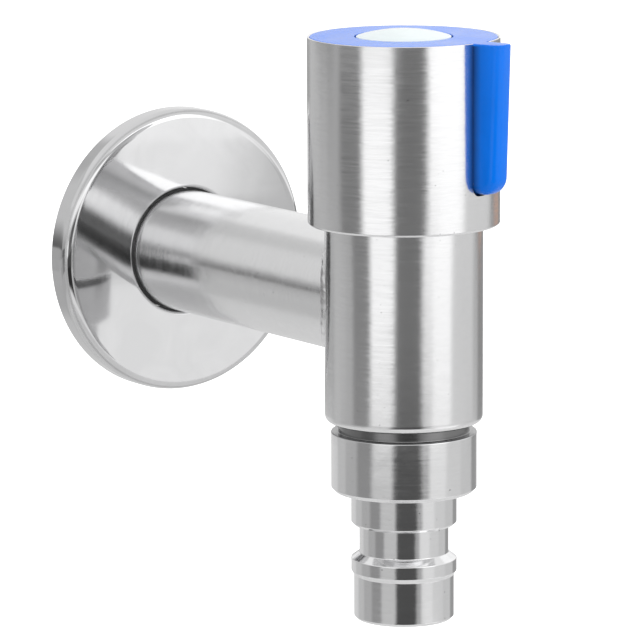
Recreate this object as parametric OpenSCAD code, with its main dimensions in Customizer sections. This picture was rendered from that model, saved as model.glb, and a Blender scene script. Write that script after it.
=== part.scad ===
// Wall-mounted quarter-turn tap with a quick-connect hose nozzle.
// The origin is on the arm's axis at the wall plane, +Z is up and the tap reaches out along -Y.

/* [Wall flange] */
// Outside diameter of the wall flange
flange_d = 55; // [48:0.5:70]
// Depth of the flange from the wall to its face
flange_depth = 5; // [4:0.25:9]
// Sheet thickness of the flange
flange_sheet = 0.9; // [0.6:0.1:1.2]
// Outer radius of the flange's front edge
flange_edge_r = 1.8; // [1.4:0.1:3]
// Gap round the arm in the flange's hole
flange_gap = 0.45; // [0.2:0.05:0.9]

/* [Inlet arm] */
// Outside diameter of the arm
arm_d = 23.5; // [22:0.25:26]
// Distance from the wall to the barrel's axis
arm_reach = 77.5; // [60:0.5:120]
// Diameter of the water bore through the arm
arm_bore_d = 15; // [10:0.25:15.5]
// Length of pipe thread behind the wall
inlet_thread_len = 14; // [10:0.5:20]
// Chamfer at the end of the pipe thread
inlet_thread_chamfer = 1; // [0.5:0.1:1.5]
// Width of the weld bead round the arm's root
weld_w = 1.4; // [0.6:0.1:1.8]

/* [Threads] */
// Major diameter of the half-inch pipe thread
thread_d = 20.955; // [20.7:0.005:21.1]

/* [Barrel] */
// Outside diameter of the barrel
barrel_d = 28.9; // [28:0.1:29.6]
// Radius round the barrel's bottom edge
barrel_edge_r = 1.2; // [0.5:0.1:1.8]
// Diameter of the water chamber round the cartridge
chamber_d = 22.4; // [21.6:0.1:23.2]
// Depth of the valve seat below the arm's axis
seat_depth = 8; // [7.8:0.1:10]
// Thickness of the seat web
seat_web_t = 3; // [2:0.25:4]
// Diameter of the port through the seat web
seat_port_d = 11; // [8:0.5:11.5]

/* [Hose nozzle] */
// Length of thread screwed into the barrel
stub_len = 9.5; // [7:0.1:12]
// Thickness of the nozzle's flat gasket
nozzle_gasket_t = 1.6; // [1:0.1:2.4]
// Diameter of the relief above the collar
relief_d = 24; // [22.5:0.25:25]
// Height of the relief above the collar
relief_h = 1.9; // [1.2:0.1:4]
// Diameter of the collar
collar_d = 26.7; // [25.5:0.1:29]
// Height of the collar
collar_h = 11; // [8:0.1:14]
// Diameter of the step under the collar
step_d = 19.4; // [18:0.05:22]
// Height of the step under the collar
step_h = 6.3; // [5:0.1:9]
// Diameter of the neck that a coupling's balls grip
neck_d = 16.4; // [15.6:0.1:17.6]
// Height of the neck
neck_h = 5.2; // [4.5:0.1:8]
// Diameter of the ridge under the neck
ridge_d = 19.4; // [18.8:0.05:22]
// Height of the ridge's straight band
ridge_h = 2.3; // [1.2:0.1:3]
// Diameter of the nozzle's end
end_d = 18.4; // [17.8:0.05:18.7]
// Height of the nozzle's end
end_h = 8.2; // [6:0.1:12]
// Height of the cone above the ridge
ridge_cone_h = 1.1; // [0.6:0.1:2]
// Height of the cone below the ridge
ridge_foot_h = 0.8; // [0.4:0.1:1.5]
// Diameter of the water bore through the nozzle
nozzle_bore_d = 12; // [9:0.25:12.5]
// Chamfer under the collar
collar_chamfer = 0.7; // [0.3:0.1:1.2]
// Chamfer under the step and at the nozzle's end
small_chamfer = 0.5; // [0.2:0.1:0.8]

/* [Cartridge] */
// Outside diameter of the cartridge below its thread
cartridge_d = 18.7; // [18.4:0.1:19.2]
// Diameter of the disc chamber in the cartridge
disc_chamber_d = 16; // [15.4:0.1:16.4]
// Distance across the flats of the cartridge's hexagon
hex_af = 24; // [23:0.25:25]
// Thickness of the hexagon
hex_t = 3.3; // [2.5:0.1:4]
// Length of the cartridge's thread
cartridge_thread_len = 8.5; // [7:0.25:11]
// Length of the plain neck under the cartridge's thread
cartridge_neck_len = 3.5; // [2.5:0.25:5]
// Height of the rubber seat gasket
seat_gasket_h = 3; // [2.2:0.1:4]
// Wall of the rubber seat gasket
seat_gasket_wall = 2; // [1.5:0.1:2.4]
// How far the seat gasket stands out below the cartridge
seat_gasket_lip = 1; // [0.5:0.1:1.4]
// Thickness of each ceramic disc
disc_t = 3.2; // [2.6:0.1:4]
// Radius of the solid centre of each ceramic disc
disc_centre_r = 2.2; // [1.6:0.1:2.6]
// Width of the rim outside the fixed disc's ports
disc_rim = 1.7; // [1.2:0.1:2.2]
// Angle that each port of the discs spans
port_angle = 80; // [60:2:84]
// Width of the two lugs that stop the fixed disc turning
lug_w = 2.4; // [1.6:0.1:3]
// Width of each side window of the cartridge
window_w = 9; // [6:0.25:10]
// Thickness of the sealing ring under the hexagon
head_ring_d = 1.4; // [1:0.1:1.6]

/* [Spindle] */
// Diameter of the spindle's shank
spindle_d = 9.5; // [9:0.1:10]
// Thickness of the spindle's drive plate
drive_plate_t = 3; // [2:0.1:4]
// Diameter of the spindle's drive plate
drive_plate_d = 15; // [13:0.1:15.2]
// Width of the drive key under the plate
key_w = 3.1; // [2.4:0.1:3.6]
// Height of the drive key under the plate
key_h = 1.4; // [1:0.1:1.8]
// Thickness of the thrust washer
thrust_washer_t = 0.6; // [0.4:0.1:1]
// Thickness of the spindle's two sealing rings
ring_d = 1.5; // [1.2:0.1:1.8]
// Distance between the two sealing rings
ring_pitch = 4; // [3:0.1:5]
// Outside diameter of the spline
spline_d = 8; // [7.8:0.1:8.2]
// Depth of the spline's teeth
spline_depth = 0.4; // [0.3:0.05:0.5]
// Number of teeth on the spline
spline_teeth = 20; // [16:2:24]
// Length of the spline
spline_len = 10; // [8:0.5:12]
// Length of flatted shank between the retaining clip and the spline
spline_lead = 5.4; // [4:0.1:7]
// Distance across the flats that turn the stop washer
flats_w = 8.3; // [8.25:0.05:8.7]
// Thickness of the stop washer
stop_t = 1.2; // [0.8:0.1:1.4]
// Angle that the stop washer's tab spans
stop_tab_angle = 30; // [20:2:50]
// How far the stop washer's tab stands out of its ring
stop_tab_len = 1.8; // [1.2:0.1:2.4]
// Free play of the tab between its stops in degrees
stop_slack = 2; // [1:0.5:4]
// Thickness of the retaining clip
clip_t = 0.7; // [0.5:0.05:0.9]
// How far the clip stands out of the shank
clip_land = 1.25; // [0.8:0.05:1.6]
// How far the clip's groove is cut below the flats
clip_bite = 0.25; // [0.1:0.05:0.4]
// Quarter turn between closed and open
turn_angle = 90; // [80:1:95]

/* [Knob] */
// Outside diameter of the knob
knob_d = 35; // [34:0.1:42]
// Height of the knob
knob_h = 34.1; // [33:0.1:40]
// Wall of the knob's steel sleeve
sleeve_wall = 2; // [1.6:0.1:2.2]
// Width of steel left round the top of the sleeve
sleeve_rim = 0.25; // [0.2:0.05:0.6]
// Chamfer round the sleeve's bottom edge
sleeve_chamfer = 0.35; // [0.2:0.05:0.6]
// How far the sleeve hangs below the barrel's top
sleeve_lap = 2.65; // [1.5:0.05:4.5]
// Wall of the core's skirt and ribs
core_wall = 1.6; // [1.2:0.1:2]
// Thickness of the core's top plate
core_plate_t = 2.2; // [2:0.1:3]
// Diameter of the core's hub
hub_d = 14.4; // [12.5:0.1:16]
// Number of ribs between the hub and the skirt
rib_count = 6; // [3:1:8]
// Thickness of the web under the screw
screw_web_t = 3.2; // [2.5:0.1:4]

/* [Fin] */
// Thickness of the fin
fin_t = 4.6; // [3.6:0.1:6]
// Radius from the knob's axis to the fin's top corner
fin_reach = 23; // [22:0.1:30]
// Height of the fin
fin_h = 27.3; // [20:0.1:27.5]
// Lean of the fin's nose from the vertical in degrees
fin_lean = 1.9; // [0:0.1:3]
// Radius of the fin's lower outer corner
fin_corner_r = 3.3; // [2:0.1:4.4]
// Radius of the two upright edges of the fin's nose
fin_nose_r = 1.6; // [0.8:0.1:1.7]
// Direction of the fin, turned from straight ahead in degrees
fin_angle = 17; // [-30:1:60]

/* [Centre cap and screw] */
// Diameter of the centre cap
cap_d = 17.3; // [16:0.1:19]
// Width of the groove round the centre cap
cap_groove = 0.3; // [0.15:0.05:0.6]
// Thickness of the centre cap at its edge
cap_t = 1.9; // [1.6:0.1:2.2]
// Rise of the centre cap's dome
cap_dome = 1.3; // [0.3:0.05:1.6]
// Length of the spigot that holds the centre cap
spigot_len = 1.6; // [1:0.1:2]
// Wall of the centre cap's spigot
spigot_wall = 1; // [0.8:0.1:1.2]
// Diameter of the handle screw's thread
screw_d = 4; // [3.5:0.1:4.4]
// Length of the handle screw under its head
screw_len = 12; // [10:0.5:14]
// Diameter of the handle screw's head
screw_head_d = 7.4; // [6.8:0.1:8]
// Height of the handle screw's head
screw_head_h = 2.4; // [2:0.1:2.6]
// Width of the cross recess in the screw's head
recess_w = 1.1; // [0.8:0.1:1.4]
// Length of the cross recess in the screw's head
recess_len = 4.4; // [3.6:0.1:5]
// Diameter of the washer under the screw's head
washer_d = 9; // [8.4:0.1:10]
// Thickness of the washer under the screw's head
washer_t = 0.8; // [0.5:0.1:1]

/* [Hidden] */
$fn = 96;

// Clearances between pieces that fit each other
fit_gap = 0.05;
disc_gap = 0.1;
ring_gap = 0.02;
end_gap = 0.3;
// Overshoot of cutting shapes past the faces they cut
cut = 1;

// Colours as the photograph shows them
steel = [0.78, 0.78, 0.79];
bright_steel = [0.88, 0.88, 0.89];
blue_plastic = [0.09, 0.42, 0.92];
white_plastic = [0.95, 0.97, 0.98];
brass_yellow = [0.80, 0.66, 0.36];
ceramic_white = [0.93, 0.92, 0.88];
rubber_black = [0.10, 0.10, 0.11];
nylon_white = [0.90, 0.90, 0.86];
zinc_grey = [0.65, 0.66, 0.68];

// Radii
flange_r = flange_d / 2;
arm_r = arm_d / 2;
arm_bore_r = arm_bore_d / 2;
thread_r = thread_d / 2;
thread_hole_r = thread_r + fit_gap;
barrel_r = barrel_d / 2;
cartridge_r = cartridge_d / 2;
disc_chamber_r = disc_chamber_d / 2;
disc_r = disc_chamber_r - disc_gap;
spindle_r = spindle_d / 2;
spindle_hole_r = spindle_r + fit_gap;
spline_r = spline_d / 2;
knob_r = knob_d / 2;
sleeve_bore_r = knob_r - sleeve_wall;
core_r = sleeve_bore_r - fit_gap;
hub_r = hub_d / 2;
cap_r = cap_d / 2;
cap_hole_r = cap_r + cap_groove;
screw_r = screw_d / 2;
screw_hole_r = screw_r + fit_gap;
well_r = washer_d / 2 + fit_gap + core_wall;

// Heights on the barrel's axis, counted from the arm's axis: seat and nozzle
seat_z = -seat_depth;
web_z = seat_z - seat_web_t;
stub_z = web_z - nozzle_gasket_t;
barrel_bottom_z = stub_z - stub_len;
collar_z = barrel_bottom_z - relief_h;
step_z = collar_z - collar_h;
neck_z = step_z - step_h;
ridge_cone_z = neck_z - neck_h;
ridge_z = ridge_cone_z - ridge_cone_h;
ridge_foot_z = ridge_z - ridge_h;
end_z = ridge_foot_z - ridge_foot_h;
nozzle_end_z = end_z - end_h;

// Heights on the barrel's axis: cartridge and spindle
cartridge_z = seat_z + seat_gasket_lip;
fixed_disc_z = seat_z + seat_gasket_h;
moving_disc_z = fixed_disc_z + disc_t;
drive_plate_z = moving_disc_z + disc_t;
thrust_washer_z = drive_plate_z + drive_plate_t;
shoulder_z = thrust_washer_z + thrust_washer_t;
cartridge_thread_z = shoulder_z + cartridge_neck_len;
barrel_top_z = cartridge_thread_z + cartridge_thread_len;
hex_top_z = barrel_top_z + hex_t;
lower_ring_z = cartridge_thread_z;
upper_ring_z = lower_ring_z + ring_pitch;
stop_z = hex_top_z + fit_gap;
clip_z = stop_z + stop_t + fit_gap;
spline_z = clip_z + clip_t + spline_lead;
spindle_top_z = spline_z + spline_len;

// Heights on the barrel's axis: knob
knob_bottom_z = barrel_top_z - sleeve_lap;
knob_top_z = knob_bottom_z + knob_h;
fin_bottom_z = knob_top_z - fin_h;
skirt_bottom_z = fin_bottom_z - end_gap;
slot_bottom_z = skirt_bottom_z;
cap_seat_z = knob_top_z - cap_t;
screw_web_z = spindle_top_z + end_gap;
screw_web_top_z = screw_web_z + screw_web_t;
screw_head_z = screw_web_top_z + washer_t;
hub_bottom_z = spline_z;
well_z = screw_web_top_z;
rib_bottom_z = hub_bottom_z + core_wall;
plate_middle_z = knob_top_z - core_plate_t / 2;

// Radial sizes of the small rings
head_ring_centre_r = thread_r + fit_gap + head_ring_d / 2;
head_ring_recess_r = head_ring_centre_r + head_ring_d / 2 + fit_gap;
spindle_ring_centre_r = spindle_hole_r - ring_gap - ring_d / 2;
ring_groove_r = spindle_ring_centre_r - ring_d / 2 - ring_gap;
ring_groove_h = ring_d + 2 * disc_gap;
flats_half = flats_w / 2;
clip_groove_r = flats_half - clip_bite;
clip_r = spindle_r + clip_land;
stop_ring_r = clip_r;
stop_tab_r = stop_ring_r + stop_tab_len;
crown_r = stop_tab_r + fit_gap;
crown_bore_r = stop_ring_r + fit_gap;
thrust_washer_r = drive_plate_d / 2 - end_gap;

// Lap of the core's top plate over the sleeve's wall
lap = sleeve_wall - sleeve_rim;
lap_z = knob_top_z - lap;

// A round plate or rod on the Z axis
module rod(r, z_low, z_high) {
    translate([0, 0, z_low]) cylinder(r = r, h = z_high - z_low);
}

// A straight tube on the Z axis
module tube(r_out, r_in, z_low, z_high) {
    difference() {
        rod(r_out, z_low, z_high);
        rod(r_in, z_low - cut, z_high + cut);
    }
}

// A ring of round section on the Z axis
module round_ring(centre_r, section_d, z) {
    translate([0, 0, z]) rotate_extrude() translate([centre_r, 0]) circle(d = section_d);
}

// A wedge that spans the given angle, centred on +X
module wedge(angle, reach, z_low, z_high) {
    steps = 4;
    rim = [for (i = [0 : steps]) let (a = angle * (i / steps - 0.5)) reach * [cos(a), sin(a)]];
    translate([0, 0, z_low]) linear_extrude(z_high - z_low) polygon(concat([[0, 0]], rim));
}

// The outline of a toothed spline, grown by a clearance
module spline_outline(gap) {
    step = 180 / spline_teeth;
    polygon([for (i = [0 : 2 * spline_teeth - 1])
        let (r = spline_r + gap - (i % 2) * spline_depth) r * [cos(i * step), sin(i * step)]]);
}

// A round bar with two flats
module flatted_rod(r, half, z_low, z_high) {
    intersection() {
        rod(r, z_low, z_high);
        translate([-2 * r, -half, z_low]) cube([4 * r, 2 * half, z_high - z_low]);
    }
}

// Places its children on the barrel's axis
module at_barrel() {
    translate([0, -arm_reach, 0]) children();
}

// A rod on the arm's axis, from one distance out of the wall to another
module arm_rod(r, out_low, out_high) {
    translate([0, -out_low, 0]) rotate([90, 0, 0]) cylinder(r = r, h = out_high - out_low);
}

// Half of the flange's section: a disc whose front edge is rounded, turned on the arm's axis
module flange_outline(r, depth, edge_r) {
    square([r - edge_r, depth]);
    square([r, depth - edge_r]);
    translate([r - edge_r, depth - edge_r]) circle(r = edge_r);
}

module wall_flange() {
    inner_edge_r = flange_edge_r - flange_sheet;
    hole_r = arm_r + flange_gap;
    color(bright_steel) rotate([90, 0, 0]) rotate_extrude() difference() {
        flange_outline(flange_r, flange_depth, flange_edge_r);
        translate([0, -cut]) square([hole_r, flange_depth + 2 * cut]);
        flange_outline(flange_r - flange_sheet, flange_depth - flange_sheet, inner_edge_r);
        translate([0, -cut]) square([flange_r - flange_sheet, cut]);
    }
}

module inlet_arm() {
    thread_end = -inlet_thread_len;
    color(steel) difference() {
        union() {
            arm_rod(arm_r, 0, arm_reach);
            arm_rod(thread_r, thread_end + inlet_thread_chamfer, 0);
            translate([0, inlet_thread_len, 0]) rotate([90, 0, 0])
                cylinder(r1 = thread_r - inlet_thread_chamfer, r2 = thread_r, h = inlet_thread_chamfer);
        }
        arm_rod(arm_bore_r, thread_end - cut, arm_reach + cut);
        at_barrel() rod(barrel_r + fit_gap, -arm_d, arm_d);
    }
}

module weld_bead() {
    color(bright_steel) difference() {
        intersection() {
            arm_rod(arm_r + weld_w, arm_reach - 2 * barrel_r, arm_reach);
            at_barrel() rod(barrel_r + weld_w, -arm_d, arm_d);
        }
        arm_rod(arm_r + fit_gap, 0, arm_reach + cut);
        at_barrel() rod(barrel_r + fit_gap, -arm_d, arm_d);
    }
}

module barrel() {
    color(steel) difference() {
        at_barrel() difference() {
            union() {
                rod(barrel_r, barrel_bottom_z + barrel_edge_r, barrel_top_z);
                rod(barrel_r - barrel_edge_r, barrel_bottom_z, barrel_bottom_z + barrel_edge_r);
                translate([0, 0, barrel_bottom_z + barrel_edge_r]) rotate_extrude()
                    translate([barrel_r - barrel_edge_r, 0]) circle(r = barrel_edge_r);
            }
            rod(thread_hole_r, cartridge_thread_z - cut, barrel_top_z + cut);
            rod(head_ring_recess_r, barrel_top_z - head_ring_d - ring_gap, barrel_top_z + cut);
            rod(chamber_d / 2, seat_z, cartridge_thread_z);
            rod(seat_port_d / 2, web_z - cut, seat_z + cut);
            rod(thread_hole_r, barrel_bottom_z - cut, web_z);
        }
        arm_rod(arm_bore_r, arm_reach - barrel_r - cut, arm_reach);
    }
}

module hose_nozzle() {
    profile = [
        [nozzle_bore_d / 2, stub_z], [thread_r, stub_z],
        [thread_r, barrel_bottom_z], [relief_d / 2, barrel_bottom_z],
        [relief_d / 2, collar_z], [collar_d / 2, collar_z],
        [collar_d / 2, step_z + collar_chamfer], [collar_d / 2 - collar_chamfer, step_z],
        [step_d / 2, step_z], [step_d / 2, neck_z + small_chamfer],
        [step_d / 2 - small_chamfer, neck_z], [neck_d / 2, neck_z],
        [neck_d / 2, ridge_cone_z], [ridge_d / 2, ridge_z],
        [ridge_d / 2, ridge_foot_z], [end_d / 2, end_z],
        [end_d / 2, nozzle_end_z + small_chamfer], [end_d / 2 - small_chamfer, nozzle_end_z],
        [nozzle_bore_d / 2, nozzle_end_z]];
    color(steel) at_barrel() rotate_extrude() polygon(profile);
}

module nozzle_gasket() {
    color(rubber_black) at_barrel()
        tube(thread_r - fit_gap, nozzle_bore_d / 2 + fit_gap, stub_z, web_z);
}

module cartridge_body() {
    window_h = shoulder_z - moving_disc_z;
    gap_angle = turn_angle + stop_tab_angle + stop_slack;
    color(brass_yellow) at_barrel() difference() {
        union() {
            rod(cartridge_r, cartridge_z, cartridge_thread_z);
            rod(thread_r, cartridge_thread_z, barrel_top_z);
            translate([0, 0, barrel_top_z]) cylinder(d = hex_af / cos(30), h = hex_t, $fn = 6);
            rod(crown_r, hex_top_z, clip_z);
        }
        rod(spindle_hole_r, cartridge_z - cut, clip_z + cut);
        rod(disc_chamber_r, cartridge_z - cut, shoulder_z);
        rod(crown_bore_r, hex_top_z, clip_z + cut);
        rotate([0, 0, turn_angle / 2]) wedge(gap_angle, 2 * crown_r, hex_top_z, clip_z + cut);
        translate([-window_w / 2, -2 * cartridge_r, moving_disc_z])
            cube([window_w, 4 * cartridge_r, window_h]);
        translate([-2 * cartridge_r, -lug_w / 2 - fit_gap, cartridge_z - cut])
            cube([4 * cartridge_r, lug_w + 2 * fit_gap, moving_disc_z - cartridge_z + cut]);
    }
}

module head_seal_ring() {
    color(rubber_black) at_barrel()
        round_ring(head_ring_centre_r, head_ring_d, barrel_top_z - head_ring_d / 2 - ring_gap / 2);
}

module seat_gasket() {
    color(rubber_black) at_barrel() tube(disc_r, disc_r - seat_gasket_wall, seat_z, fixed_disc_z);
}

module fixed_disc() {
    port_r = disc_r - disc_rim;
    color(ceramic_white) at_barrel() difference() {
        union() {
            rod(disc_r, fixed_disc_z, moving_disc_z);
            intersection() {
                rod(cartridge_r, fixed_disc_z, moving_disc_z);
                translate([-cartridge_r, -lug_w / 2, fixed_disc_z])
                    cube([2 * cartridge_r, lug_w, disc_t]);
            }
        }
        for (side = [90, 270]) rotate([0, 0, side]) intersection() {
            tube(port_r, disc_centre_r, fixed_disc_z - cut, moving_disc_z + cut);
            wedge(port_angle, 2 * port_r, fixed_disc_z - cut, moving_disc_z + cut);
        }
    }
}

module moving_disc() {
    color(ceramic_white) at_barrel() difference() {
        rod(disc_r, moving_disc_z, drive_plate_z);
        for (side = [0, 180]) rotate([0, 0, side]) difference() {
            wedge(port_angle, 2 * disc_r, moving_disc_z - cut, drive_plate_z + cut);
            rod(disc_centre_r, moving_disc_z - 2 * cut, drive_plate_z + 2 * cut);
        }
        translate([-key_w / 2 - fit_gap, -2 * disc_r, drive_plate_z - key_h - fit_gap])
            cube([key_w + 2 * fit_gap, 4 * disc_r, key_h + fit_gap + cut]);
    }
}

module spindle() {
    color(brass_yellow) at_barrel() difference() {
        union() {
            rod(drive_plate_d / 2, drive_plate_z, thrust_washer_z);
            rod(spindle_r, drive_plate_z, hex_top_z);
            flatted_rod(spindle_r, flats_half, hex_top_z - cut, spline_z);
            translate([0, 0, spline_z]) linear_extrude(spline_len) spline_outline(0);
            intersection() {
                rod(drive_plate_d / 2, drive_plate_z - key_h, drive_plate_z + cut);
                translate([-key_w / 2, -drive_plate_d, drive_plate_z - key_h])
                    cube([key_w, 2 * drive_plate_d, key_h + cut]);
            }
        }
        for (z = [lower_ring_z, upper_ring_z])
            tube(2 * spindle_r, ring_groove_r, z - ring_groove_h / 2, z + ring_groove_h / 2);
        tube(2 * spindle_r, clip_groove_r, clip_z - fit_gap, clip_z + clip_t + fit_gap);
        rod(screw_hole_r, spindle_top_z - screw_len, spindle_top_z + cut);
    }
}

module thrust_washer() {
    color(nylon_white) at_barrel()
        tube(thrust_washer_r, spindle_hole_r, thrust_washer_z, shoulder_z);
}

// A sealing ring in one of the spindle's grooves
module spindle_ring(z) {
    color(rubber_black) at_barrel() round_ring(spindle_ring_centre_r, ring_d, z);
}

module lower_spindle_ring() {
    spindle_ring(lower_ring_z);
}

module upper_spindle_ring() {
    spindle_ring(upper_ring_z);
}

module stop_washer() {
    color(zinc_grey) at_barrel() difference() {
        union() {
            rod(stop_ring_r, stop_z, stop_z + stop_t);
            intersection() {
                rod(stop_tab_r, stop_z, stop_z + stop_t);
                wedge(stop_tab_angle, 2 * stop_tab_r, stop_z, stop_z + stop_t);
            }
        }
        flatted_rod(spindle_r + fit_gap, flats_half + fit_gap, stop_z - cut, stop_z + stop_t + cut);
    }
}

module retaining_clip() {
    color(zinc_grey) at_barrel() difference() {
        tube(clip_r, clip_groove_r + fit_gap, clip_z, clip_z + clip_t);
        translate([0, -clip_groove_r, clip_z - cut])
            cube([2 * clip_r, 2 * clip_groove_r, clip_t + 2 * cut]);
    }
}

// The fin's side view: u outwards and v up from its top outer corner
module fin_side() {
    root = fin_reach - core_r + core_wall;
    translate([-root, fin_corner_r - fin_h]) square([root, fin_h]);
    translate([-root, -fin_h]) square([root - fin_corner_r, fin_h]);
    translate([-fin_corner_r, fin_corner_r - fin_h]) circle(r = fin_corner_r);
}

// The fin's plan: x across its thickness and y outwards from its tip
module fin_plan() {
    root = 2 * (fin_reach - core_r);
    half = fin_t / 2;
    translate([-half, -root]) square([fin_t, root - fin_nose_r]);
    translate([fin_nose_r - half, -root]) square([fin_t - 2 * fin_nose_r, root]);
    for (side = [-1, 1]) translate([side * (half - fin_nose_r), -fin_nose_r]) circle(r = fin_nose_r);
}

// The fin stands out along -Y, its nose leaning in towards the bottom
module fin() {
    intersection() {
        translate([0, -fin_reach, knob_top_z]) rotate([fin_lean, 0, 0]) intersection() {
            rotate([90, 0, -90]) linear_extrude(2 * fin_t, center = true) fin_side();
            translate([0, 0, -2 * fin_h]) mirror([0, 1, 0]) linear_extrude(3 * fin_h) fin_plan();
        }
        translate([-fin_t, -2 * fin_reach, 0]) cube([2 * fin_t, 2 * fin_reach, knob_top_z]);
    }
}

module knob_core() {
    color(blue_plastic) at_barrel() difference() {
        union() {
            tube(core_r, core_r - core_wall, skirt_bottom_z, knob_top_z - core_plate_t);
            rod(core_r, knob_top_z - core_plate_t, lap_z);
            translate([0, 0, lap_z]) cylinder(r1 = core_r, r2 = core_r + lap, h = lap);
            rod(hub_r, hub_bottom_z, plate_middle_z);
            rod(cap_hole_r + core_wall, cap_seat_z - core_wall, plate_middle_z);
            for (i = [0 : rib_count - 1]) rotate([0, 0, fin_angle + i * 360 / rib_count])
                translate([-core_wall / 2, hub_r - core_wall, rib_bottom_z])
                    cube([core_wall, core_r - hub_r + core_wall / 2, plate_middle_z - rib_bottom_z]);
            rotate([0, 0, fin_angle]) fin();
        }
        rod(cap_hole_r, cap_seat_z, knob_top_z + cut);
        rod(well_r, well_z, knob_top_z + cut);
        rod(screw_hole_r, screw_web_z - cut, well_z + cut);
        translate([0, 0, hub_bottom_z - cut])
            linear_extrude(screw_web_z - hub_bottom_z + cut) spline_outline(fit_gap);
    }
}

module knob_sleeve() {
    slot_w = fin_t + 2 * fit_gap;
    color(steel) at_barrel() difference() {
        union() {
            rod(knob_r, knob_bottom_z + sleeve_chamfer, knob_top_z);
            translate([0, 0, knob_bottom_z])
                cylinder(r1 = knob_r - sleeve_chamfer, r2 = knob_r, h = sleeve_chamfer);
        }
        rod(sleeve_bore_r, knob_bottom_z - cut, knob_top_z + cut);
        translate([0, 0, lap_z])
            cylinder(r1 = sleeve_bore_r, r2 = sleeve_bore_r + lap + cut, h = lap + cut);
        rotate([0, 0, fin_angle]) translate([-slot_w / 2, -2 * knob_r, slot_bottom_z])
            cube([slot_w, 2 * knob_r, knob_h]);
    }
}

module screw_washer() {
    color(zinc_grey) at_barrel()
        tube(washer_d / 2, screw_hole_r, screw_web_top_z, screw_web_top_z + washer_t);
}

module handle_screw() {
    recess_depth = screw_head_h / 2;
    color(zinc_grey) at_barrel() difference() {
        union() {
            rod(screw_r, screw_head_z - screw_len, screw_head_z);
            rod(screw_head_d / 2, screw_head_z, screw_head_z + screw_head_h);
        }
        for (turn = [0, 90]) rotate([0, 0, turn])
            translate([-recess_w / 2, -recess_len / 2, screw_head_z + screw_head_h - recess_depth])
                cube([recess_w, recess_len, recess_depth + cut]);
    }
}

module centre_cap() {
    steps = 8;
    dome_r = (cap_r * cap_r + cap_dome * cap_dome) / (2 * cap_dome);
    dome = [for (i = [0 : steps]) let (x = cap_r * (1 - i / steps))
        [x, knob_top_z + cap_dome - dome_r + sqrt(dome_r * dome_r - x * x)]];
    spigot_r = well_r - fit_gap;
    color(white_plastic) at_barrel() {
        rotate_extrude() polygon(concat([[0, cap_seat_z], [cap_r, cap_seat_z]], dome));
        tube(spigot_r, spigot_r - spigot_wall, cap_seat_z - spigot_len, cap_seat_z + cap_t / 2);
    }
}

wall_flange();
inlet_arm();
weld_bead();
barrel();
hose_nozzle();
nozzle_gasket();
cartridge_body();
head_seal_ring();
seat_gasket();
fixed_disc();
moving_disc();
spindle();
thrust_washer();
lower_spindle_ring();
upper_spindle_ring();
stop_washer();
retaining_clip();
knob_core();
knob_sleeve();
screw_washer();
handle_screw();
centre_cap();
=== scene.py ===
"""Visual model of a wall-mounted quarter-turn tap, made piece by piece round its loaded frame."""

import math

import bpy
from mathutils import Matrix, Vector, noise


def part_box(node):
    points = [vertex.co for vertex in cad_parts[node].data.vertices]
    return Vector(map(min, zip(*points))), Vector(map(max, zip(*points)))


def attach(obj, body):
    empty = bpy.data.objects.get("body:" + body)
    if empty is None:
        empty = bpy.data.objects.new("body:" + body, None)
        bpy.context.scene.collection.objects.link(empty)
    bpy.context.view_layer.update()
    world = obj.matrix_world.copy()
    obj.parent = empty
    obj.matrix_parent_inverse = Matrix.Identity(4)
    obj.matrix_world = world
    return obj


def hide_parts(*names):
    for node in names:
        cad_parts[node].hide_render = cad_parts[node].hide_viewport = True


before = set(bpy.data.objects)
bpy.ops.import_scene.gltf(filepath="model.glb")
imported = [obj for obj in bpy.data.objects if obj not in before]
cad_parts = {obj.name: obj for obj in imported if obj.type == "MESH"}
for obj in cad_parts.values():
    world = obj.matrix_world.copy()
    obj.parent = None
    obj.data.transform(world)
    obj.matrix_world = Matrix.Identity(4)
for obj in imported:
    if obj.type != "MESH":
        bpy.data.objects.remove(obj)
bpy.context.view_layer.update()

bl_info = {
    "name": "Wall-mounted tap",
    "version": (1, 0, 0),
    "blender": (4, 5, 0),
    "location": "View3D > Sidebar > Tap",
    "description": "Models a wall-mounted quarter-turn tap piece by piece round its frame",
    "category": "Mesh",
}

MM = 0.001
FULL_TURN = 2 * math.pi
SIDES = 256
MERGE_WITHIN = 1e-7

# Places taken from the frame
FLANGE_LOW, FLANGE_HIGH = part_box("wall_flange")
ARM_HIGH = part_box("inlet_arm")[1]
BARREL_LOW, BARREL_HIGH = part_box("barrel")
NOZZLE_LOW, NOZZLE_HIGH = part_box("hose_nozzle")
SLEEVE_LOW, SLEEVE_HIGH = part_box("knob_sleeve")
CAP_LOW, CAP_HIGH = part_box("centre_cap")
SPINDLE_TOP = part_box("spindle")[1].z

FLANGE_R = FLANGE_HIGH.x
FLANGE_DEPTH = FLANGE_HIGH.y - FLANGE_LOW.y
ARM_R = ARM_HIGH.x
THREAD_END = ARM_HIGH.y
BARREL_R = BARREL_HIGH.x
BARREL_Y = (BARREL_LOW.y + BARREL_HIGH.y) / 2
COLLAR_R = NOZZLE_HIGH.x
KNOB_R = SLEEVE_HIGH.x
KNOB_TOP = SLEEVE_HIGH.z
KNOB_BOTTOM = SLEEVE_LOW.z
CAP_R = CAP_HIGH.x
CAP_SEAT = KNOB_TOP - 1.9 * MM
SLOT_GAP = 0.3 * MM
BARREL_AXIS = Vector((0, BARREL_Y, 0))


# Properties

def length(name, description, millimetres):
    """A length that is written in millimetres and kept in metres."""
    return bpy.props.FloatProperty(
        name=name, description=description, default=millimetres * MM,
        precision=5, subtype="DISTANCE", unit="LENGTH")


def angle(name, description, degrees):
    """An angle that is written in degrees and kept in radians."""
    return bpy.props.FloatProperty(
        name=name, description=description, default=math.radians(degrees),
        subtype="ANGLE", unit="ROTATION")


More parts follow.
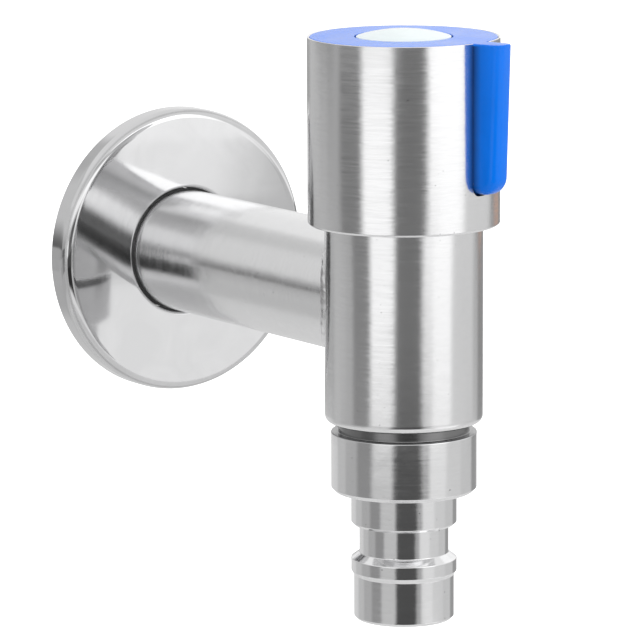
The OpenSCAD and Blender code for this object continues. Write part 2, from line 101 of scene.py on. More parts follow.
def amount(name, description, value):
    """A plain number."""
    return bpy.props.FloatProperty(name=name, description=description, default=value, precision=4)


def colour(name, value):
    """A linear colour."""
    return bpy.props.FloatVectorProperty(
        name=name, description=f"Colour of the {name.lower()}", default=value, subtype="COLOR",
        size=3, min=0, max=1)


class FlangeSizes(bpy.types.PropertyGroup):
    """Sizes of the wall flange."""

    sheet: length("Sheet", "Thickness of the pressed sheet", 0.9)
    edge: length("Front edge", "Outer radius of the rounded front edge", 1.8)
    lip: length("Hole lip", "Radius of the lip round the arm's hole", 0.6)
    gap: length("Gap", "Gap round the arm in the hole", 0.45)
    lean: angle("Lean", "How far the loose flange hangs forward on the arm", 3.25)
    swing: angle("Swing", "How far the loose flange is turned to the side", -2.5)
    swell: amount("Swell", "Slope of the pressed face for each metre from its centre", 2.26)


class ArmSizes(bpy.types.PropertyGroup):
    """Sizes of the inlet arm and its weld."""

    bore: length("Bore", "Radius of the water bore", 7.5)
    thread: length("Thread", "Outside radius of the half-inch pipe thread", 10.4775)
    pitch: length("Pitch", "Pitch of the pipe thread", 1.814)
    thread_depth: length("Thread depth", "Depth of the pipe thread", 1.162)
    chamfer: length("Thread chamfer", "Chamfer at the thread's end", 1.0)
    weld: length("Weld", "Width of the weld bead", 1.4)
    weld_ripple: length("Weld ripple", "Height of the weld bead's ripples", 0.13)


class BarrelSizes(bpy.types.PropertyGroup):
    """Sizes of the barrel."""

    edge: length("Bottom edge", "Radius round the bottom edge", 1.2)
    thread: length("Threaded holes", "Radius of the two threaded holes", 10.5275)
    recess: length("Ring recess", "Radius of the recess for the head's sealing ring", 11.9775)
    recess_depth: length("Ring recess depth", "Depth of that recess", 1.42)
    thread_depth: length("Upper thread", "Depth of the upper threaded hole", 8.5)
    chamber: length("Chamber", "Radius of the water chamber", 11.2)
    seat: length("Seat", "Depth of the valve seat below the arm's axis", 8.0)
    web: length("Web", "Thickness of the seat web", 3.0)
    port: length("Port", "Radius of the port through the web", 5.5)


class NozzleSizes(bpy.types.PropertyGroup):
    """Sizes of the hose nozzle."""

    relief: length("Relief", "Radius of the relief above the collar", 12.0)
    relief_h: length("Relief height", "Height of the relief", 1.9)
    collar_h: length("Collar height", "Height of the collar", 11.0)
    step: length("Step", "Radius of the step under the collar", 9.7)
    step_h: length("Step height", "Height of the step", 6.3)
    neck: length("Neck", "Radius of the neck", 8.2)
    neck_h: length("Neck height", "Height of the neck", 5.2)
    ridge: length("Ridge", "Radius of the ridge", 9.7)
    ridge_h: length("Ridge height", "Height of the ridge's straight band", 2.3)
    cone_h: length("Upper cone", "Height of the cone above the ridge", 1.1)
    foot_h: length("Lower cone", "Height of the cone below the ridge", 0.8)
    end: length("End", "Radius of the nozzle's end", 9.2)
    bore: length("Bore", "Radius of the water bore", 6.0)
    collar_chamfer: length("Collar chamfer", "Chamfer under the collar", 0.7)
    chamfer: length("Chamfer", "Chamfer under the step and at the end", 0.5)
    easing: length("Easing", "Radius of the eased edges", 0.16)


class KnobSizes(bpy.types.PropertyGroup):
    """Sizes of the knob's sleeve, core, fin and cap."""

    wall: length("Sleeve wall", "Wall of the steel sleeve", 2.0)
    rim: length("Rim", "Width of steel round the sleeve's top", 0.25)
    chamfer: length("Sleeve chamfer", "Chamfer round the sleeve's bottom edge", 0.35)
    fit: length("Fit", "Clearance between the core and the sleeve", 0.05)
    core_wall: length("Core wall", "Wall of the core's skirt and ribs", 1.6)
    plate: length("Top plate", "Thickness of the core's top plate", 2.2)
    hub: length("Hub", "Radius of the core's hub", 7.2)
    well: length("Well", "Radius of the well for the screw's head", 6.15)
    web: length("Screw web", "Thickness of the web under the screw", 3.2)
    screw_hole: length("Screw hole", "Radius of the screw's hole", 2.05)
    bore: length("Splined bore", "Radius of the hub's splined bore", 4.05)
    spline: length("Spline depth", "Depth of the spline's teeth", 0.4)
    fin: length("Fin thickness", "Thickness of the fin", 4.6)
    fin_reach: length("Fin reach", "Radius from the axis to the fin's top corner", 23.0)
    fin_h: length("Fin height", "Height of the fin", 27.3)
    fin_lean: angle("Fin lean", "Lean of the fin's nose", 1.9)
    fin_corner: length("Fin corner", "Radius of the fin's lower outer corner", 3.3)
    fin_nose: length("Fin nose", "Radius of the fin's long edges", 1.6)
    fin_angle: angle("Fin angle", "Direction of the fin, turned from straight ahead", 17.0)
    cap_gap: length("Cap groove", "Width of the groove round the cap", 0.3)
    cap_edge: length("Cap edge", "Radius of the cap's edge", 0.25)
    spigot: length("Spigot", "Radius of the cap's spigot", 6.1)
    spigot_wall: length("Spigot wall", "Wall of the cap's spigot", 1.0)


class TapFinishes(bpy.types.PropertyGroup):
    """Colours and finishes."""

    steel: colour("Turned steel", (0.77, 0.77, 0.775))
    polish: colour("Polished steel", (0.62, 0.62, 0.625))
    weld: colour("Weld bead", (0.80, 0.80, 0.805))
    blue: colour("Blue plastic", (0.0, 0.190, 0.900))
    white: colour("White plastic", (0.83, 0.91, 0.92))
    steel_roughness: amount("Steel roughness", "Roughness of the turned steel", 0.15)
    line_depth: length("Line depth", "Depth of the turning lines", 0.0004)
    waver: amount("Line waver", "Sideways tilt along the turning lines", 0.034)


class TapStudio(bpy.types.PropertyGroup):
    """Camera and light."""

    azimuth: angle("Azimuth", "Camera's direction, 0 straight ahead", -34.7)
    elevation: angle("Elevation", "Camera's height above the horizon", 9.92)
    roll: angle("Roll", "Camera's roll", -0.2)
    distance: length("Distance", "Camera's distance from its target", 894.3)
    shift_right: length("Target right", "Target's distance right of the barrel's axis", -15.26)
    shift_up: length("Target up", "Target's distance above the arm's axis", -3.49)
    lens: amount("Lens", "Focal length in millimetres on a 36 mm sensor", 276.4)
    tent_r: length("Tent radius", "Radius of the light tent", 1000.0)
    tent_top: length("Tent top", "Height of the light tent's top", 800.0)
    floor: length("Floor", "Height of the floor", -750.0)
    light: amount("Light", "Level of the light tent", 1.0)


# Modelling helpers

def start_clean():
    """Leaves edit mode and deselects everything, the loaded frame too."""
    if bpy.context.mode != "OBJECT":
        bpy.ops.object.mode_set(mode="OBJECT")
    bpy.ops.object.select_all(action="DESELECT")


def pick(piece):
    """Makes one piece the only one selected."""
    start_clean()
    piece.select_set(True)
    bpy.context.view_layer.objects.active = piece


def edit(piece, select="SELECT"):
    """Opens a piece in edit mode, all selected or nothing."""
    pick(piece)
    bpy.ops.object.mode_set(mode="EDIT")
    bpy.ops.mesh.select_mode(type="VERT")
    bpy.ops.mesh.select_all(action=select)


def merge_all():
    """Selects everything in edit mode and merges the points that lie on each other."""
    bpy.ops.mesh.select_all(action="SELECT")
    bpy.ops.mesh.remove_doubles(threshold=MERGE_WITHIN)


def close_up():
    """Turns the selected faces outwards and leaves edit mode."""
    bpy.ops.mesh.normals_make_consistent(inside=False)
    bpy.ops.object.mode_set(mode="OBJECT")


def drawn_line(name, points):
    """A new piece that is one line through the points, drawn by extruding a single vertex."""
    start_clean()
    bpy.ops.mesh.primitive_plane_add(size=MM, location=(0, 0, 0))
    piece = bpy.context.active_object
    piece.name = piece.data.name = name
    edit(piece)
    bpy.ops.mesh.merge(type="CENTER")
    bpy.ops.transform.translate(value=points[0])
    for here, there in zip(points, points[1:]):
        bpy.ops.mesh.extrude_region_move(TRANSFORM_OT_translate={"value": there - here})
    return piece


def eased(corners, steps=5):
    """A closed outline in which each corner that has a third value is rounded to that radius."""
    outline = []
    count = len(corners)
    for i, corner in enumerate(corners):
        here = Vector(corner[:2])
        radius = corner[2] if len(corner) > 2 else 0
        if not radius:
            outline.append(here)
            continue
        back = Vector(corners[i - 1][:2]) - here
        ahead = Vector(corners[(i + 1) % count][:2]) - here
        room = min(back.length, ahead.length)
        back.normalize()
        ahead.normalize()
        half = back.angle(ahead) / 2
        reach = radius / math.tan(half)
        centre = here + (back + ahead).normalized() * radius / math.sin(half)
        first, last = here + back * reach, here + ahead * reach
        hold = min(0.3 * radius + 0.02 * MM, 0.2 * (room - reach))
        turn = math.pi - 2 * half
        outline.append(first + back * hold)
        for k in range(steps + 1):
            share = k / steps
            arm = ((first - centre) * math.sin((1 - share) * turn)
                   + (last - centre) * math.sin(share * turn)) / math.sin(turn)
            outline.append(centre + arm)
        outline.append(last + ahead * hold)
    return outline


def round_barrel(r, z):
    """A point of an outline that turns round the barrel's axis."""
    return Vector((r, BARREL_Y, z))


def round_arm(r, y):
    """A point of an outline that turns round the arm's axis."""
    return Vector((r, y, 0))


def turned(name, outline, place=round_barrel, closed=True, sides=SIDES):
    """A piece turned like lathe work: the outline is drawn and then spun round its axis."""
    points = [place(*point) for point in outline]
    piece = drawn_line(name, points + points[:1] if closed else points)
    centre, axis = ((0, 0, 0), (0, 1, 0)) if place is round_arm else (BARREL_AXIS, (0, 0, 1))
    merge_all()
    bpy.ops.mesh.spin(steps=sides, angle=FULL_TURN, center=centre, axis=axis)
    merge_all()
    close_up()
    return piece


def rod(name, r, low, high, place=round_barrel):
    """A plain round cutter between two places on its axis."""
    return turned(name, [(0, low), (r, low), (r, high), (0, high)], place, closed=False)


def combine(piece, other, operation):
    """Joins another shape to a piece or cuts it away, and removes that shape."""
    pick(piece)
    bpy.ops.object.modifier_add(type="BOOLEAN")
    boolean = piece.modifiers[-1]
    boolean.operation = operation
    boolean.solver = "EXACT"
    boolean.object = other
    bpy.ops.object.modifier_apply(modifier=boolean.name)
    bpy.data.objects.remove(other)
    return piece


def select_edges(piece, wanted):
    """Selects the edges whose two ends both pass a test of their place, in edit mode."""
    edit(piece, "DESELECT")
    bpy.ops.mesh.select_mode(type="EDGE")
    bpy.ops.object.mode_set(mode="OBJECT")
    spots = piece.data.vertices
    for edge in piece.data.edges:
        edge.select = wanted(*(spots[v].co for v in edge.vertices))
    bpy.ops.object.mode_set(mode="EDIT")


def extruded(name, points, offset):
    """A closed flat outline filled and extruded by an offset."""
    piece = drawn_line(name, points + points[:1])
    merge_all()
    bpy.ops.mesh.edge_face_add()
    bpy.ops.mesh.extrude_region_move(TRANSFORM_OT_translate={"value": offset})
    bpy.ops.mesh.select_all(action="SELECT")
    close_up()
    return piece


def finish_piece(piece, body, slot, material, *nodes, smooth=32):
    """Smooths a piece, gives it its finish and sets it in the frame."""
    pick(piece)
    bpy.ops.object.shade_smooth_by_angle(angle=math.radians(smooth))
    piece.data.materials.clear()
    piece.data.materials.append(material)
    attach(piece, body)
    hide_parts(*nodes)


def directions(turn):
    """The way out of the knob at a turn from straight ahead, and the way across it."""
    return (Vector((math.sin(turn), -math.cos(turn), 0)),
            Vector((math.cos(turn), math.sin(turn), 0)))


# Materials

def add(tree, kind, inputs=None, **settings):
    """A shader node with its settings, its values and its links."""
    node = tree.nodes.new("ShaderNode" + kind)
    for key, value in settings.items():
        setattr(node, key, value)
    for socket, value in (inputs or {}).items():
        if isinstance(value, bpy.types.NodeSocket):
            tree.links.new(value, node.inputs[socket])
        else:
            node.inputs[socket].default_value = value
    return node


def calc(tree, operation, *values, **settings):
    """The result of a Math node."""
    return add(tree, "Math", dict(enumerate(values)), operation=operation, **settings).outputs[0]


def vector_calc(tree, operation, *values, **named):
    """The result of a Vector Math node: a number for a length, else a vector."""
    node = add(tree, "VectorMath", {**dict(enumerate(values)), **named}, operation=operation)
    return node.outputs["Value" if operation == "LENGTH" else "Vector"]


def object_place(tree):
    """The shaded point in the piece's own coordinates."""
    return add(tree, "TexCoord").outputs["Object"]


def parts(tree, vector):
    """The three parts of a vector."""
    return add(tree, "SeparateXYZ", {0: vector}).outputs


def off_axis(tree, first, second):
    """How far a point is from an axis, from its two coordinates across that axis."""
    return vector_calc(tree, "LENGTH", add(tree, "CombineXYZ", {0: first, 1: second}).outputs[0])


def remapped(tree, value, low, high, first=0.0, last=1.0, **settings):
    """A value moved from one range to another and held at its ends."""
    inputs = dict(enumerate((value, low, high, first, last)))
    return add(tree, "MapRange", inputs, **settings).outputs[0]


def noise_at(tree, where, scale, detail, **more):
    """The level of a noise texture."""
    inputs = {"Vector": where, "Scale": scale, "Detail": detail, **more}
    return add(tree, "TexNoise", inputs).outputs[0]


def drawn_noise(tree, where, scale, turn=(0, 0, 0)):
    """Noise drawn out into lines."""
    drawn = add(tree, "Mapping", {"Vector": where, "Rotation": turn, "Scale": scale})
    return noise_at(tree, drawn.outputs[0], 1.0, 2)


def bumped(tree, height, distance, normal=None):
    """A normal bent by a height map; distance is its full height in metres."""
    inputs = {"Strength": 1.0, "Distance": distance, "Height": height}
    if normal is not None:
        inputs["Normal"] = normal
    return add(tree, "Bump", inputs).outputs[0]


def ramp(tree, factor, *stops):
    """A colour ramp; each stop is a place and a grey or a colour."""
    node = add(tree, "ValToRGB", {0: factor})
    elements = node.color_ramp.elements
    while len(elements) < len(stops):
        elements.new(0.5)
    for element, (place, value) in zip(elements, stops):
        element.position = place
        element.color = (*value, 1) if hasattr(value, "__len__") else (value,) * 3 + (1,)
    return node.outputs[0]


def shades(base, *factors):
    """Lighter or darker versions of a colour."""
    return [tuple(min(1, c * f) for c in base) for f in factors]


def mixed(tree, first, second, share=1, blend="MULTIPLY"):
    """Two colours multiplied, or blended by a share."""
    return add(tree, "Mix", {"Factor": share, 6: first, 7: second}, data_type="RGBA",
               blend_type=blend).outputs[2]


def empty_material(name):
    """A new material with nothing in its tree."""
    made = bpy.data.materials.new(name)
    made.use_nodes = True
    made.node_tree.nodes.clear()
    return made, made.node_tree


def new_material(name, base, roughness, metallic=0.0, **more):
    """A material with one shader, whose constants are set on its own sockets."""
    made, tree = empty_material(name)
    shader = add(tree, "BsdfPrincipled", {
        "Base Color": (*base, 1), "Roughness": roughness, "Metallic": metallic, **more})
    add(tree, "OutputMaterial", {"Surface": shader.outputs[0]})
    return made, tree, shader, object_place(tree)


def feed(tree, shader, colours, normal, roughness=None):
    """Links what varies over a piece to its shader."""
    tree.links.new(colours, shader.inputs["Base Color"])
    tree.links.new(normal, shader.inputs["Normal"])
    if roughness is not None:
        tree.links.new(roughness, shader.inputs["Roughness"])


def lathe_steel(name, finish, dull=1.0, depth=1.0, waver=1.0, along_arm=False, cloud=0.02 * MM,
                painted_shade_band=None):
    """Steel turned on a lathe: fine lines run round its axis and break up what it reflects.

    dull, depth and waver are factors on the tap's own finish. The last argument, if given, is the
    pair of heights between which shade is painted into the colour and the surface is rougher."""
    roughness = finish.steel_roughness * dull
    made, tree, shader, where = new_material(name, finish.steel, roughness, 1.0)
    if along_arm:
        settings, axis = {"Rotation": (math.pi / 2, 0, 0)}, (0, 1, 0)
    else:
        settings, axis = {"Location": -BARREL_AXIS}, (0, 0, 1)
    x, y, z = parts(tree, add(tree, "Mapping", {"Vector": where, **settings}).outputs[0])
    run = calc(tree, "ADD", z, off_axis(tree, x, y))
    track = add(tree, "CombineXYZ", {0: x, 1: y, 2: run}).outputs[0]

    def lines(around, across):
        stretched = vector_calc(tree, "MULTIPLY", track, (around, around, across))
        return noise_at(tree, stretched, 1.0, 2, Roughness=0.6)

    fine, broad = lines(420, 6500), lines(130, 2600)
    clouds = noise_at(tree, where, 190.0, 3)

    # Along the lines the normal leans sideways, as much one way as the other
    normal = add(tree, "NewGeometry").outputs["Normal"]
    sideways = vector_calc(tree, "CROSS_PRODUCT", axis, normal)
    both, middle = calc(tree, "MULTIPLY_ADD", broad, 0.6, fine), 0.8
    tilt = calc(tree, "MULTIPLY", calc(tree, "SUBTRACT", both, middle), finish.waver * waver)
    shifted = vector_calc(tree, "SCALE", sideways, Scale=tilt)
    tilted = vector_calc(tree, "NORMALIZE", vector_calc(tree, "ADD", normal, shifted))
    worn = bumped(tree, clouds, cloud, tilted)
    bent = bumped(tree, fine, finish.line_depth * depth, worn)

    tint = ramp(tree, fine, *zip((0.3, 0.5, 0.7), shades(finish.steel, 0.976, 1.0, 1.015)))
    pits = ramp(tree, noise_at(tree, where, 1500.0, 2), (0.22, 0.5), (0.26, 1.0))
    skin = mixed(tree, tint, pits)
    rough = remapped(tree, broad, 0.3, 0.7, roughness * 0.8, roughness * 1.25)
    if painted_shade_band:
        # Painted shade: the band is darkened to under a third, and made rougher
        low, high = painted_shade_band
        half, soft = (high - low) / 2, 0.05 * MM
        away = calc(tree, "ABSOLUTE", calc(tree, "SUBTRACT", parts(tree, where)[2],
                                           (low + high) / 2))
        inside = remapped(tree, away, half - soft, half, 1.0, 0.0)
        skin = mixed(tree, skin, ramp(tree, inside, (0.0, 1.0), (1.0, 0.3)))
        rough = calc(tree, "MULTIPLY_ADD", inside, 0.12, rough)
    feed(tree, shader, skin, bent, rough)
    return made


def polished_steel(name, base, roughness, lean, swing, swell):
    """Mirror-polished pressed steel with a slight wave, faint hairlines and smears.

    The loose flange hangs a little out of square and its face swells a little, which its
    reflections show; the faces inside it are rougher and painted darker, as painted shade."""
    made, tree, shader, where = new_material(name, base, roughness, 1.0)
    wave = noise_at(tree, where, 55.0, 2)
    smears = noise_at(tree, where, 120.0, 5, Distortion=0.8)
    hairs = drawn_noise(tree, where, (90, 1, 2600), (0, 0.5, 0))
    normal = add(tree, "NewGeometry").outputs["Normal"]
    outwards = vector_calc(tree, "MULTIPLY_ADD", where, (swell, 0, swell), normal)
    hung = add(tree, "VectorRotate", {"Vector": vector_calc(tree, "NORMALIZE", outwards),
                                      "Rotation": (lean, 0, swing)}, rotation_type="EULER_XYZ")
    waved = bumped(tree, wave, 0.02 * MM, hung.outputs[0])
    bent = bumped(tree, hairs, 0.0004 * MM, waved)
    bright = ramp(tree, smears, *zip((0.35, 0.65), shades(base, 0.965, 1.02)))
    x, y, z = parts(tree, where)
    # Painted shade: the faces inside the flange are darkened, and made rougher
    behind = remapped(tree, y, 0.35 * MM - FLANGE_DEPTH, 0.6 * MM - FLANGE_DEPTH)
    within = remapped(tree, off_axis(tree, x, z), FLANGE_R - 0.6 * MM, FLANGE_R - 0.3 * MM,
                      1.0, 0.0)
    inner = calc(tree, "MULTIPLY", behind, within)
    skin = mixed(tree, bright, ramp(tree, inner, (0.0, 1.0), (1.0, 0.6)))
    rough = remapped(tree, smears, 0.35, 0.7, roughness, roughness * 1.8)
    feed(tree, shader, skin, bent, calc(tree, "MULTIPLY_ADD", inner, 0.4, rough))
    return made


def weld_steel(name, base):
    """Bright melted steel of a weld bead, with small ripples and duller patches."""
    made, tree, shader, where = new_material(name, base, 0.3, 1.0)
    ripples, tint = noise_at(tree, where, 700.0, 2), noise_at(tree, where, 300.0, 2)
    feed(tree, shader, ramp(tree, tint, *zip((0.38, 0.6), shades(base, 0.82, 1.1))),
         bumped(tree, ripples, 0.02 * MM), remapped(tree, tint, 0.3, 0.7, 0.22, 0.4))
    return made


def moulded_plastic(name, base, roughness, grain, mottle=0.05, corner=None, **more):
    """Injection-moulded plastic or rubber with a fine skin and faint flow marks.

    corner is the pair of radii round the knob over which shade is painted into the colour beside
    the steel, darkest at the steel."""
    made, tree, shader, where = new_material(name, base, roughness, **more)
    skin = noise_at(tree, where, 2600.0, 3)
    flow = noise_at(tree, where, 130.0, 3, Distortion=0.6)
    colours = ramp(tree, flow, *zip((0.3, 0.7), shades(base, 1 - mottle, 1 + mottle)))
    if corner:
        # Painted shade: darker towards the steel round the knob, except at the top's edge
        x, y, z = parts(tree, vector_calc(tree, "SUBTRACT", where, BARREL_AXIS))
        beyond = remapped(tree, off_axis(tree, x, y), *corner)
        under = remapped(tree, z, KNOB_TOP - 0.5 * MM, KNOB_TOP - 0.2 * MM)
        unshaded = calc(tree, "MAXIMUM", beyond, under)
        colours = mixed(tree, colours, ramp(tree, unshaded, (0.0, 0.25), (0.45, 0.86), (1.0, 1.0)))
    feed(tree, shader, colours, bumped(tree, skin, grain),
         remapped(tree, flow, 0.3, 0.7, roughness * 0.85, roughness * 1.2))
    return made


def machined_metal(name, base, roughness):
    """Machined brass or plated steel of the hidden pieces, with tool marks and a little tarnish."""
    made, tree, shader, where = new_material(name, base, roughness, 1.0)
    tarnish = noise_at(tree, where, 200.0, 4)
    marks = drawn_noise(tree, where, (250, 250, 6000))
    feed(tree, shader, ramp(tree, tarnish, *zip((0.3, 0.5, 0.7), shades(base, 0.8, 1.0, 1.08))),
         bumped(tree, marks, 0.003 * MM))
    return made


# Operators, one for each piece or group of pieces

class TAP_OT_studio(bpy.types.Operator):
    """Sets up the pale floor, the light tent and the camera"""

    bl_idname = "tap.studio"
    bl_label = "Studio"

    # Light seen round the object, zone by zone upwards. Each zone names the two heights in
    # metres between which it takes over from the one below, and its bands: where each starts,
    # counted in degrees from the camera towards its right, and its level
    LOW = [(-180, 0.72), (-60, 0.80), (-20, 1.05), (45, 1.15), (88, 0.80)]
    UNDER = [(-180, 0.72), (-135, 0.58), (-60, 0.76), (-22, 0.04), (26, 0.70), (48, 1.15),
             (88, 0.76)]
    NOZZLE = [(-180, 0.74), (-130, 0.60), (-106, 0.48), (-80, 0.32), (-54, 0.60), (-19, 0.09),
              (28, 0.42), (39, 0.86), (68, 0.74), (100, 0.66), (132, 0.36), (160, 0.74)]
    BARREL = [(-180, 0.45), (-122, 0.57), (-94, 0.50), (-79, 0.27), (-50, 1.24), (-14, 0.21),
              (24, 1.00), (42, 1.22), (71, 0.73), (118, 0.52), (134, 0.30), (168, 1.25)]
    KNOB = [(-180, 0.40), (-150, 0.58), (-120, 0.52), (-104, 0.44), (-83, 0.19), (-52, 1.30),
            (-13, 0.17), (28, 1.33), (76, 0.75), (124, 0.30), (168, 1.25)]
    WARM = KNOB[:-1] + [(134, (0.75, 0.46, 0.34)), (152, 0.30), (168, 1.25)]
    SIDE = [(-180, 0.75), (-150, 0.60), (-130, 0.18), (-92, 0.50), (-54, 0.80), (-22, 0.50),
            (-4, 0.14), (24, 1.30), (130, 0.80)]
    BEHIND = [(-180, 1.00), (-150, 0.79), (-90, 0.80), (-40, 1.35), (10, 1.60), (40, 2.00),
              (74, 0.95), (130, 1.10)]
    OVER = [(-180, 0.97), (-146, 0.63), (-126, 0.80), (-88, 0.95), (-2, 0.75), (26, 0.40),
            (51, 2.05), (74, 1.00), (130, 1.20)]
    ABOVE = [(-180, 0.97), (-146, 0.66), (-124, 0.74), (-88, 0.95), (-2, 0.55), (20, 1.45),
             (31, 2.05), (72, 1.00), (130, 1.20)]
    ZONES = [((-0.60, -0.48), UNDER), ((-0.33, -0.30), NOZZLE), ((-0.225, -0.205), BARREL),
             ((-0.142, -0.138), WARM), ((-0.127, -0.123), KNOB), ((-0.066, -0.046), SIDE),
             ((-0.04, 0.17), BEHIND), ((0.34, 0.46), OVER), ((0.56, 0.66), ABOVE)]
    # Half the width in degrees of the blend between two bands, and the level of a full ramp
    EDGE = 3.6
    BRIGHTEST = 2.1

    FLOOR_SIZE = 30
    FLOOR_PAINT = (0.8, 0.8, 0.8, 1)
    # The floor's own glow: the distance in metres from its middle, and the level, at either end
    GLOW_FROM, GLOW_TO = (0.8, 0.32), (1.6, 0.75)
    # The share of it that reflections see, where the light on the floor gives them the rest
    MIRRORED = 0.4
    # The ring of painted shade: its gap round the arm, its outer radius and its place behind the
    # flange
    SHADE_GAP, SHADE_R, SHADE_Y = 0.05 * MM, 16 * MM, 0.3 * MM
    # The colour of that painted shade's faint glow
    SHADE = (0.03, 0.03, 0.03, 1)
    CLIP = 0.05, 100

    def band_ramp(self, tree, turn, bands):
        """A colour ramp of one zone's bands."""
        stops = []
        for i, (start, level) in enumerate(bands):
            end = bands[i + 1][0] if i + 1 < len(bands) else 180
            shade = level if hasattr(level, "__len__") else (level,) * 3
            for edge in (start + self.EDGE, end - self.EDGE):
                stops.append(((edge + 180) / 360, tuple(c / self.BRIGHTEST for c in shade)))
        return ramp(tree, turn, *stops)

    def make_tent(self, studio):
        start_clean()
        bpy.ops.mesh.primitive_cylinder_add(
            vertices=SIDES, radius=studio.tent_r, depth=studio.tent_top - studio.floor,
            end_fill_type="NOTHING",
            location=(0, BARREL_Y, (studio.tent_top + studio.floor) / 2))
        tent = bpy.context.active_object
        tent.name = "light_tent"
        bpy.ops.object.transform_apply(location=True, rotation=False, scale=False)
        tent.visible_camera = False
        light, tree = empty_material("tent_light")
        x, y, z = parts(tree, object_place(tree))
        around = calc(tree, "ARCTAN2", x, calc(tree, "SUBTRACT", BARREL_Y, y))
        turn = calc(tree, "ADD", around, math.pi - studio.azimuth)
        turn = calc(tree, "DIVIDE", calc(tree, "FLOORED_MODULO", turn, FULL_TURN), FULL_TURN)
        whole = self.band_ramp(tree, turn, self.LOW)
        for (start, end), bands in self.ZONES:
            share = remapped(tree, z, start, end, interpolation_type="SMOOTHSTEP")
            whole = mixed(tree, whole, self.band_ramp(tree, turn, bands), share, "MIX")
        glow = add(tree, "Emission", {0: whole, 1: self.BRIGHTEST * studio.light})
        add(tree, "OutputMaterial", {"Surface": glow.outputs[0]})
        tent.data.materials.append(light)

    def one_sided(self, tree, look):
        """Ends a material that shows only from its front, so that it hides no view."""
        clear = add(tree, "BsdfTransparent").outputs[0]
        back = add(tree, "NewGeometry").outputs["Backfacing"]
        sided = add(tree, "MixShader", {0: back, 1: look, 2: clear})
        add(tree, "OutputMaterial", {"Surface": sided.outputs[0]})

    def make_painted_gap_shade(self):
        """A dark ring of painted shade behind the flange, glowing faintly, which shows through the
        gap round the arm.
        """
        ring = turned("painted_gap_shade", [(ARM_R + self.SHADE_GAP, self.SHADE_Y),
                                     (self.SHADE_R, self.SHADE_Y)],
                      round_arm, closed=False, sides=64)
        if ring.data.polygons[0].normal.y > 0:
            edit(ring)
            bpy.ops.mesh.flip_normals()
            bpy.ops.object.mode_set(mode="OBJECT")
        dark, tree = empty_material("painted_gap_shade_glow")
        # Painted shade: a faint dark glow, shown only from the front
        paint = add(tree, "Emission", {"Color": self.SHADE})
        self.one_sided(tree, paint.outputs[0])
        ring.data.materials.append(dark)

    def make_floor(self, studio):
        start_clean()
        bpy.ops.mesh.primitive_plane_add(size=self.FLOOR_SIZE,
                                         location=(0, BARREL_Y, studio.floor))
        floor = bpy.context.active_object
        floor.name = "studio_floor"
        pale, tree = empty_material("pale_floor")
        rays = add(tree, "LightPath").outputs
        seen = calc(tree, "MULTIPLY_ADD", rays["Is Glossy Ray"], self.MIRRORED,
                    rays["Is Camera Ray"])
        seen = calc(tree, "ADD", seen, rays["Is Transmission Ray"], use_clamp=True)
        away = vector_calc(tree, "LENGTH", object_place(tree))
        (near, first), (far, last) = self.GLOW_FROM, self.GLOW_TO
        strength = calc(tree, "MULTIPLY", seen, remapped(tree, away, near, far, first, last))
        paint = add(tree, "BsdfDiffuse", {"Color": self.FLOOR_PAINT})
        glow = add(tree, "Emission", {"Strength": strength})
        both = add(tree, "AddShader", {0: paint.outputs[0], 1: glow.outputs[0]})
        self.one_sided(tree, both.outputs[0])
        floor.data.materials.append(pale)

    def make_camera(self, scene, studio):
        az, el = studio.azimuth, studio.elevation
        back = Vector((math.sin(az) * math.cos(el), -math.cos(az) * math.cos(el), math.sin(el)))
        right = Vector((math.cos(az), math.sin(az), 0))
        up = back.cross(right)
        c, s = math.cos(studio.roll), math.sin(studio.roll)
        right, up = right * c + up * s, up * c - right * s
        target = BARREL_AXIS + right * studio.shift_right + up * studio.shift_up
        start_clean()
        bpy.ops.object.camera_add(location=target + back * studio.distance)
        camera = bpy.context.active_object
        camera.name = "photo_camera"
        camera.rotation_euler = Matrix((right, up, back)).transposed().to_euler()
        camera.data.lens = studio.lens
        camera.data.clip_start, camera.data.clip_end = self.CLIP
        scene.camera = camera

    def execute(self, context):
        scene = context.scene
        studio = scene.tap_studio
        self.make_tent(studio)
        self.make_painted_gap_shade()
        self.make_floor(studio)
        self.make_camera(scene, studio)
        world = bpy.data.worlds.new("white_room")
        world.use_nodes = True
        world.node_tree.nodes.clear()
        sky = add(world.node_tree, "Background", {"Color": (1, 1, 1, 1), "Strength": 1.0})
        add(world.node_tree, "OutputWorld", {"Surface": sky.outputs[0]})
        scene.world = world
        scene.view_settings.view_transform = "Standard"
        return {"FINISHED"}


class TAP_OT_wall_flange(bpy.types.Operator):
    """Makes the pressed and polished wall flange"""

    bl_idname = "tap.wall_flange"
    bl_label = "Wall flange"

    def execute(self, context):
        s, finish = context.scene.tap_flange, context.scene.tap_finishes
        hole = ARM_R + s.gap
        front, inside = -FLANGE_DEPTH, s.sheet - FLANGE_DEPTH
        outline = eased([
            (FLANGE_R - s.sheet, 0, 0.1 * MM), (FLANGE_R, 0, 0.2 * MM),
            (FLANGE_R, front, s.edge), (hole, front, s.lip),
            (hole, inside, 0.15 * MM), (FLANGE_R - s.sheet, inside, s.edge - s.sheet)], 8)
        piece = turned("flange_cover", outline, round_arm)
        steel = polished_steel("flange_polish", finish.polish, 0.045, s.lean, s.swing, s.swell)
        finish_piece(piece, "flange", "polished_steel", steel, "wall_flange")
        return {"FINISHED"}


